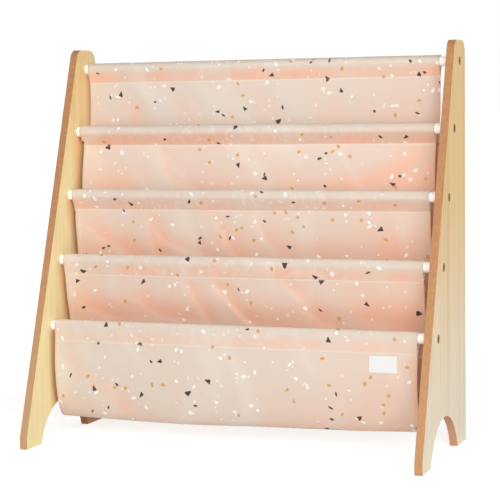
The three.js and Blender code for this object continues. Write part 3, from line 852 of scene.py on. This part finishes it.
def board_mesh():
    """A side board with its inner face in the YZ plane and its outer face at +X, with stepped bolt holes."""
    bm = bmesh.new()
    half = DEPTH / 2
    corner_rear = bm.verts.new((0, half, HEIGHT))
    corner_front = bm.verts.new((0, half - BOARD_TOP, HEIGHT))
    knee = bm.verts.new((0, -half, FRONT_UPRIGHT))
    toe = bm.verts.new((0, -half, 0))
    front_heel = bm.verts.new((0, FRONT_FOOT - half, 0))
    rear_heel = bm.verts.new((0, half, 0))

    span = DEPTH - FRONT_FOOT - REAR_FOOT
    radius = ((span / 2) ** 2 + ARCH_RISE**2) / (2 * ARCH_RISE)
    centre = Vector((0, FRONT_FOOT - half + span / 2, ARCH_RISE - radius))
    sweep = 2 * math.asin(span / 2 / radius) if radius > ARCH_RISE else math.pi
    arch = bmesh.ops.spin(bm, geom=[front_heel], cent=centre, axis=(-1, 0, 0), angle=sweep, steps=40)
    arch_end = next(g for g in arch["geom_last"] if isinstance(g, bmesh.types.BMVert))
    loop = [arch_end, rear_heel, corner_rear, corner_front, knee, toe, front_heel]
    for a, b in zip(loop, loop[1:]):
        bm.edges.new((a, b))
    face = bmesh.ops.contextual_create(bm, geom=list(bm.edges))["faces"]
    lean = math.atan2(HEIGHT - FRONT_UPRIGHT, DEPTH - BOARD_TOP)
    reach = TOP_FRONT_RADIUS / math.tan((math.pi - lean) / 2)
    for corner, offset in ((corner_rear, TOP_REAR_RADIUS), (corner_front, reach)):
        bmesh.ops.bevel(
            bm, geom=[corner], offset=offset, offset_type="OFFSET", segments=14, profile=0.5, affect="VERTICES", material=-1
        )
    bmesh.ops.delete(bm, geom=list(bm.faces), context="FACES_ONLY")

    outline = list(bm.edges)
    seats, steps_in = [], []
    for place in RODS:
        centre = Vector((0, place.x, place.y))
        seat = ring(bm, HEAD_RADIUS + CLEARANCE, centre, 48)
        hole = ring(bm, BOLT_RADIUS + CLEARANCE, centre, 48)
        steps_in += bmesh.ops.bridge_loops(bm, edges=seat + hole)["faces"]
        seats += seat
    filled = bmesh.ops.triangle_fill(bm, use_beauty=True, use_dissolve=False, edges=outline + seats)
    plate = [g for g in filled["geom"] if isinstance(g, bmesh.types.BMFace)]

    seat_floor = BOARD - HEAD_HEIGHT - CLEARANCE
    first = bmesh.ops.extrude_face_region(bm, geom=list(bm.faces))["geom"]
    moved = [g for g in first if isinstance(g, bmesh.types.BMVert)]
    bmesh.ops.translate(bm, verts=moved, vec=(seat_floor, 0, 0))
    ringed = {edge for edge in bm.edges if edge.is_valid}
    top = []
    for g in first:
        if isinstance(g, bmesh.types.BMFace):
            middle = g.calc_center_median()
            nearest = min((Vector((middle.y, middle.z)) - place).length for place in RODS)
            if nearest > HEAD_RADIUS + CLEARANCE or len(g.verts) == 3:
                top.append(g)
    second = bmesh.ops.extrude_face_region(bm, geom=top)["geom"]
    moved = [g for g in second if isinstance(g, bmesh.types.BMVert)]
    bmesh.ops.translate(bm, verts=moved, vec=(BOARD - seat_floor, 0, 0))
    bmesh.ops.recalc_face_normals(bm, faces=bm.faces)
    bmesh.ops.dissolve_limit(
        bm, angle_limit=0.002, verts=bm.verts, edges=bm.edges, use_dissolve_boundaries=False, delimit=set()
    )
    for face in bm.faces:
        face.material_index = 0 if abs(face.normal.x) > 0.9 else 1
    return bm


def bolt_mesh():
    """A bolt that points to -X, with the underside of its head at the origin."""
    hex_corner = KEY_SIZE / 2 / math.cos(math.pi / 6)
    lip = hex_corner + 0.5 * MM
    profile = [
        (HEAD_HEIGHT, lip),
        (HEAD_HEIGHT, HEAD_RADIUS - 2 * HEAD_EASE),
        (HEAD_HEIGHT - 0.3 * HEAD_EASE, HEAD_RADIUS - HEAD_EASE),
        (HEAD_HEIGHT - HEAD_EASE, HEAD_RADIUS - 0.3 * HEAD_EASE),
        (HEAD_HEIGHT - 2 * HEAD_EASE, HEAD_RADIUS),
        (0.1 * MM, HEAD_RADIUS),
        (0, HEAD_RADIUS - 0.1 * MM),
        (0, BOLT_RADIUS),
        (BOLT_TIP - BOLT_LENGTH, BOLT_RADIUS),
        (-BOLT_LENGTH, BOLT_RADIUS - BOLT_TIP),
        (-BOLT_LENGTH, 0),
    ]
    bm = turned_profile(profile, 48)
    rim = [
        edge
        for edge in bm.edges
        if edge.is_boundary and all(abs(v.co.x - HEAD_HEIGHT) < 0.01 * MM for v in edge.verts)
    ]
    key = ring(bm, hex_corner, Vector((HEAD_HEIGHT, 0, 0)), 6)
    bmesh.ops.subdivide_edges(bm, edges=key, cuts=7, use_grid_fill=False)
    hexagon = [e for e in bm.edges if not e.link_faces]
    bmesh.ops.bridge_loops(bm, edges=rim + hexagon)
    sunk = bmesh.ops.extrude_edge_only(bm, edges=hexagon)["geom"]
    floor = [g for g in sunk if isinstance(g, bmesh.types.BMVert)]
    bmesh.ops.translate(bm, verts=floor, vec=(-KEY_DEPTH, 0, 0))
    bmesh.ops.contextual_create(bm, geom=[g for g in sunk if isinstance(g, bmesh.types.BMEdge)])
    bmesh.ops.recalc_face_normals(bm, faces=bm.faces)
    return bm


def scene_settings():
    return bpy.context.scene.shelf_sizes, bpy.context.scene.shelf_colours


HEM_WIDTH = 8 * MM


class SHELF_OT_boards(bpy.types.Operator):
    """Two side boards with an arch between the feet, veneered faces and tan edges"""

    bl_idname = "shelf.boards"
    bl_label = "Side Boards"

    def execute(self, context):
        sizes, colours = scene_settings()
        veneers = {
            "left": wood_finish("left_board_veneer", colours, colours.left_veneer, 0.33, 0.65, 0.58, 0.36),
            "right": wood_finish("right_board_veneer", colours, colours.right_veneer, 0, 1, 0.42, 0),
        }
        edge = edge_finish(colours)
        for word, side in (("left", -1), ("right", 1)):
            bm = board_mesh()
            bmesh.ops.translate(bm, verts=bm.verts, vec=(INNER_FACE, 0, 0))
            if side < 0:
                bmesh.ops.scale(bm, verts=bm.verts, vec=(-1, 1, 1))
                bmesh.ops.reverse_faces(bm, faces=bm.faces)
            board = add_piece("board_" + word, bm, [veneers[word], edge], ["side_board_" + word])
            add_modifier(
                board,
                "Eased edges",
                "BEVEL",
                width=sizes.edge_round,
                segments=3,
                limit_method="ANGLE",
                angle_limit=math.radians(40),
                harden_normals=True,
                loop_slide=False,
            )
        return {"FINISHED"}


class SHELF_OT_rods(bpy.types.Operator):
    """Five white tubes between the boards, with the threaded inserts of the frame in their ends"""

    bl_idname = "shelf.rods"
    bl_label = "Tubes"

    def execute(self, context):
        _, colours = scene_settings()
        paint = paint_and_glow_finish(colours)
        end, ease = INNER_FACE - CLEARANCE, 0.2 * MM
        bore = ROD_RADIUS - ROD_WALL
        outside = [(-end, ROD_RADIUS - ease), (ease - end, ROD_RADIUS)]
        outside += [(place, ROD_RADIUS) for place in steps(-0.9 * end, 0.9 * end, 12)]
        outside += [(end - ease, ROD_RADIUS), (end, ROD_RADIUS - ease), (end, bore)]
        profile = outside + [(-end, bore), outside[0]]
        for i, place in enumerate(RODS):
            bm = turned_profile(profile, 64)
            bmesh.ops.translate(bm, verts=bm.verts, vec=(0, place.x, place.y))
            bmesh.ops.recalc_face_normals(bm, faces=bm.faces)
            name = f"rod_{i + 1}"
            add_piece("tube_" + str(i + 1), bm, [paint], [name], math.radians(35))
        zinc = metal_finish("zinc_plate", colours.zinc, 0.3, 0.9)
        for name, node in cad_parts.items():
            if name.startswith("insert_"):
                node.data.materials.clear()
                node.data.materials.append(zinc)
        return {"FINISHED"}


class SHELF_OT_bolts(bpy.types.Operator):
    """Ten flush bolts with a hexagon socket, through the boards into the tubes"""

    bl_idname = "shelf.bolts"
    bl_label = "Bolts"

    def execute(self, context):
        _, colours = scene_settings()
        bronze = metal_finish("bronze_plate", colours.bronze, 0.5, 0.35)
        for word, side in (("left", -1), ("right", 1)):
            for i, place in enumerate(RODS):
                bm = bolt_mesh()
                spot = Vector((side * (WIDTH / 2 - HEAD_HEIGHT), place.x, place.y))
                face_out = Matrix.Rotation(0 if side > 0 else math.pi, 4, "Z")
                bmesh.ops.transform(bm, matrix=Matrix.Translation(spot) @ face_out, verts=bm.verts)
                name = f"bolt_{word}_{i + 1}"
                add_piece(f"flush_bolt_{word}_{i + 1}", bm, [bronze], [name], math.radians(35))
        return {"FINISHED"}


def stitch_row(points, sizes, name, finish):
    """A row of stitches along points of the cloth, one piece."""
    bm = bmesh.new()
    for point, along, out in points:
        along = along.normalized()
        side = out.cross(along).normalized()
        turn = Matrix((along, side, out.normalized())).transposed().to_4x4()
        size = Matrix.Diagonal((sizes.stitch / 2, sizes.thread / 2, sizes.thread / 2, 1))
        bmesh.ops.create_uvsphere(
            bm, u_segments=8, v_segments=5, radius=1, matrix=Matrix.Translation(point) @ turn @ size @ Matrix.Rotation(math.pi / 2, 4, "Y")
        )
    return add_piece(name, bm, [finish])


def seam_stitches(rod, sizes):
    """Places of the stitches along the seam of a channel."""
    count = int((SLING_WIDTH - 2 * MM) / sizes.stitch_pitch)
    lift = Vector((0, -1, 0))
    places = []
    for i in range(count):
        across = (i + 0.5) / count
        spots = []
        for share in (across, across + 0.004):
            point = sheet_point(rod, share, SEAM_DROP + 1.2 * MM)
            spots.append(Vector((SLING_SHIFT + (share - 0.5) * SLING_WIDTH, point.x, point.y)))
        places.append((spots[0] + lift * (sizes.cloth / 2 + 0.08 * MM), spots[1] - spots[0], lift))
    return places


def hem_stitches(rod, side, sizes):
    """Places of the stitches down the hem of the sheet that hangs from a rod."""
    depth_end = ROD_PITCH + 4 * MM if rod < ROD_COUNT - 1 else POCKET_DROP - 24 * MM
    across = (HEM_WIDTH - 1.4 * MM) / SLING_WIDTH
    across = across if side < 0 else 1 - across
    count = int((depth_end - SEAM_DROP - 6 * MM) / sizes.stitch_pitch)
    places = []
    for i in range(count):
        depth = SEAM_DROP + 5 * MM + i * sizes.stitch_pitch
        ends = [sheet_point(rod, across, d) for d in (depth, depth + sizes.stitch)]
        spot = [Vector((SLING_SHIFT + (across - 0.5) * SLING_WIDTH, p.x, p.y)) for p in ends]
        out = Vector((0, -1, 0))
        places.append((spot[0].lerp(spot[1], 0.5) + out * (sizes.cloth / 2 + 0.3 * MM), spot[1] - spot[0], out))
    return places


class SHELF_OT_slings(bpy.types.Operator):
    """Four cloth slings hung from the tubes, with their channels, seams and hems"""

    bl_idname = "shelf.slings"
    bl_label = "Cloth Slings"

    def execute(self, context):
        sizes, colours = scene_settings()
        canvas, thread = cloth_finish(colours, sizes), thread_finish(colours)
        for rod in range(ROD_COUNT - 1):
            rows = sling_rows(rod)
            columns = columns_across(SLING_WIDTH, sizes.hem, (4.4) * MM)
            bm, length = cloth_grid(rows, columns, SLING_WIDTH, 0.7 * rod)
            name = f"sling_{rod + 1}"
            cloth = add_piece("cloth_" + name, bm, [canvas], [name])
            cloth.vertex_groups.new(name="cloth")
            add_modifier(
                cloth,
                "Canvas",
                "SOLIDIFY",
                thickness=1.1 * MM,
                offset=0,
                vertex_group="cloth",
                thickness_vertex_group=0,
                use_even_offset=True,
            )
            seams = [stitch_row(seam_stitches(rod, sizes), sizes, f"seam_{rod + 1}", thread)]
            hung = [rod] if rod < ROD_COUNT - 2 else [rod, rod + 1]
            if rod == ROD_COUNT - 2:
                seams.append(stitch_row(seam_stitches(rod + 1, sizes), sizes, f"seam_{rod + 2}", thread))
            for sheet in hung:
                for word, side in (("left", -1), ("right", 1)):
                    row = stitch_row(hem_stitches(sheet, side, sizes), sizes, f"hem_{word}_{sheet + 1}", thread)
                    seams.append(row)
        return {"FINISHED"}


class SHELF_OT_label(bpy.types.Operator):
    """A bare woven label near the right end of the front"""

    bl_idname = "shelf.label"
    bl_label = "Blank Label"

    def execute(self, context):
        sizes, colours = scene_settings()
        width, height, inset, drop = 42 * MM, 25 * MM, 30 * MM, 4 * MM
        last = ROD_COUNT - 1
        bm = bmesh.new()
        uv = bm.loops.layers.uv.new("UVMap")
        across_steps, down_steps = 42, 24
        bmesh.ops.create_grid(bm, x_segments=across_steps, y_segments=down_steps, size=1)
        bm.verts.ensure_lookup_table()
        for vertex in bm.verts:
            i, j = vertex.index % (across_steps + 1), vertex.index // (across_steps + 1)
            left = SLING_WIDTH - inset - width + width * i / across_steps
            depth = SEAM_DROP + drop + height * j / down_steps
            point = sheet_point(last, left / SLING_WIDTH, depth)
            edge = min(i, across_steps - i) / across_steps * width
            puff = 0.35 * MM * smoothstep(edge, 1.5 * MM, 5 * MM)
            ripple = 0.18 * MM * noise.noise(Vector((left * 160, depth * 160, 2)))
            forward = sizes.cloth / 2 + 0.32 * MM + puff + ripple
            vertex.co = Vector((SLING_SHIFT - SLING_WIDTH / 2 + left, point.x - forward, point.y))
            vertex.index = vertex.index
        for face in bm.faces:
            for loop in face.loops:
                loop[uv].uv = (loop.vert.co.x, loop.vert.co.z)
        label = add_piece("blank_tape_label", bm, [tape_finish(colours)], ["blank_label"])
        add_modifier(label, "Tape", "SOLIDIFY", thickness=0.4 * MM, offset=0, use_even_offset=True)
        thread = Finish("label_thread", Roughness=0.6)
        twist = thread.noise(thread.coordinates(scale=(2600, 900, 2600)), detail=1)
        tint = thread.mix(0.25 * twist, (*srgb(250, 250, 250), 1), (*srgb(226, 226, 228), 1))
        finish = thread.finish_with(Base_Color=tint, Normal=thread.bump(twist, 0.3, 0.08 * MM))
        rows = []
        for place in (1.2 * MM, width - 1.2 * MM):
            left = SLING_WIDTH - inset - width + place
            for i in range(8):
                depth = SEAM_DROP + drop + 1.6 * MM + i * 3.0 * MM
                point = sheet_point(last, left / SLING_WIDTH, depth)
                spot = Vector((SLING_SHIFT - SLING_WIDTH / 2 + left, point.x - sizes.cloth / 2 - 0.6 * MM, point.y))
                rows.append((spot, Vector((0, 0, 1)), Vector((0, -1, 0))))
        stitches = stitch_row(rows, sizes, "label_stitches", finish)
        return {"FINISHED"}


def stage_material(name, colour, glow, near, far):
    """A pale stage finish with a glow to the camera, in gloss and through clear pieces. It is white from far on."""
    f = Finish(name, Roughness=1.0, Specular_IOR_Level=0.0, Base_Color=colour)
    path = f.tree.nodes.new("ShaderNodeLightPath")
    seen = Wire(f, path.outputs["Is Camera Ray"]) + Wire(f, path.outputs["Is Glossy Ray"])
    seen = seen + Wire(f, path.outputs["Is Transmission Ray"])
    lit = f.node("Math", {"operation": "MULTIPLY", "use_clamp": True}, {0: seen, 1: 1.0})
    reach = f.node("VectorMath", {"operation": "LENGTH"}, {0: f.node("TexCoord", {}, {}, "Object")}, "Value")
    level = lit * (glow + (1 - glow) * reach.between(near, far))
    f.set(f.shader, "Emission Color", f.mix(level, (0, 0, 0, 1), (1, 1, 1, 1)))
    f.set(f.shader, "Emission Strength", 1.0)
    return f.material


class SHELF_OT_stage(bpy.types.Operator):
    """Pale floor, soft studio light and the camera"""

    bl_idname = "shelf.stage"
    bl_label = "Stage"

    def execute(self, context):
        scene = context.scene
        bm = bmesh.new()
        bmesh.ops.create_grid(bm, x_segments=1, y_segments=1, size=60)
        mesh = bpy.data.meshes.new("floor")
        bm.to_mesh(mesh)
        bm.free()
        floor = bpy.data.objects.new("floor", mesh)
        scene.collection.objects.link(floor)
        mesh.materials.append(stage_material("pale_floor", (0.9, 0.9, 0.9, 1), 0.6, 0.55, 1.3))

        world = bpy.data.worlds.new("studio")
        scene.world = world
        world.use_nodes = True
        tree = world.node_tree
        background = tree.nodes["Background"]
        background.inputs["Color"].default_value = (1, 1, 1, 1)
        path = tree.nodes.new("ShaderNodeLightPath")
        total = tree.nodes.new("ShaderNodeMath")
        total.operation = "MAXIMUM"
        tree.links.new(path.outputs["Is Camera Ray"], total.inputs[0])
        tree.links.new(path.outputs["Is Glossy Ray"], total.inputs[1])
        level = tree.nodes.new("ShaderNodeMapRange")
        level.inputs["To Min"].default_value = 0.16
        level.inputs["To Max"].default_value = 1.0
        tree.links.new(total.outputs[0], level.inputs["Value"])
        tree.links.new(level.outputs[0], background.inputs["Strength"])

        for name, place, size, energy in (
            ("key", (2.3, -3.3, 1.55), 1.8, 69),
            ("front", (0.7, -2.9, 0.8), 1.0, 25),
            ("left", (-0.9, -2.3, 2.3), 2.0, 16),
            ("right", (2.7, -0.9, 1.0), 1.2, 9),
            ("rear", (0.6, 2.6, 1.9), 2.0, 20),
        ):
            data = bpy.data.lights.new(name, "AREA")
            data.size, data.energy = size, energy
            lamp = bpy.data.objects.new(name, data)
            scene.collection.objects.link(lamp)
            lamp.location = place
            aim = Vector((0, 0, 0.3)) - Vector(place)
            lamp.rotation_euler = aim.to_track_quat("-Z", "Y").to_euler()

        data = bpy.data.cameras.new("camera")
        data.sensor_width, data.lens = 36, 120.718
        data.shift_x, data.shift_y = 0.06, -0.014
        camera = bpy.data.objects.new("camera", data)
        scene.collection.objects.link(camera)
        turn = Matrix.Rotation(0.36779, 4, "Z") @ Matrix.Rotation(math.pi / 2 - 0.08225, 4, "X")
        turn = turn @ Matrix.Rotation(-0.01513, 4, "Z")
        camera.matrix_world = Matrix.Translation((0.88117, -2.37737, 0.51891)) @ turn
        scene.camera = camera
        scene.view_settings.view_transform = "Standard"
        return {"FINISHED"}


class SHELF_PT_panel(bpy.types.Panel):
    """Lists the pieces of the shelf in the sidebar"""

    bl_label = "Sling Bookshelf"
    bl_idname = "SHELF_PT_panel"
    bl_space_type = "VIEW_3D"
    bl_region_type = "UI"
    bl_category = "Shelf"

    def draw(self, context):
        for group in (context.scene.shelf_sizes, context.scene.shelf_colours):
            for name in group.__annotations__:
                self.layout.prop(group, name)
        for operator in OPERATORS:
            self.layout.operator(operator.bl_idname)


GROUPS = [ShelfSizes, ShelfColours]
OPERATORS = [SHELF_OT_stage, SHELF_OT_boards, SHELF_OT_rods, SHELF_OT_bolts, SHELF_OT_slings, SHELF_OT_label]


def register():
    for cls in GROUPS + OPERATORS + [SHELF_PT_panel]:
        bpy.utils.register_class(cls)
    bpy.types.Scene.shelf_sizes = bpy.props.PointerProperty(type=ShelfSizes)
    bpy.types.Scene.shelf_colours = bpy.props.PointerProperty(type=ShelfColours)


def unregister():
    del bpy.types.Scene.shelf_colours
    del bpy.types.Scene.shelf_sizes
    for cls in reversed(GROUPS + OPERATORS + [SHELF_PT_panel]):
        bpy.utils.unregister_class(cls)


def main():
    register()
    bpy.ops.shelf.stage()
    bpy.ops.shelf.boards()
    bpy.ops.shelf.rods()
    bpy.ops.shelf.bolts()
    bpy.ops.shelf.slings()
    bpy.ops.shelf.label()


if __name__ == "__main__":
    main()
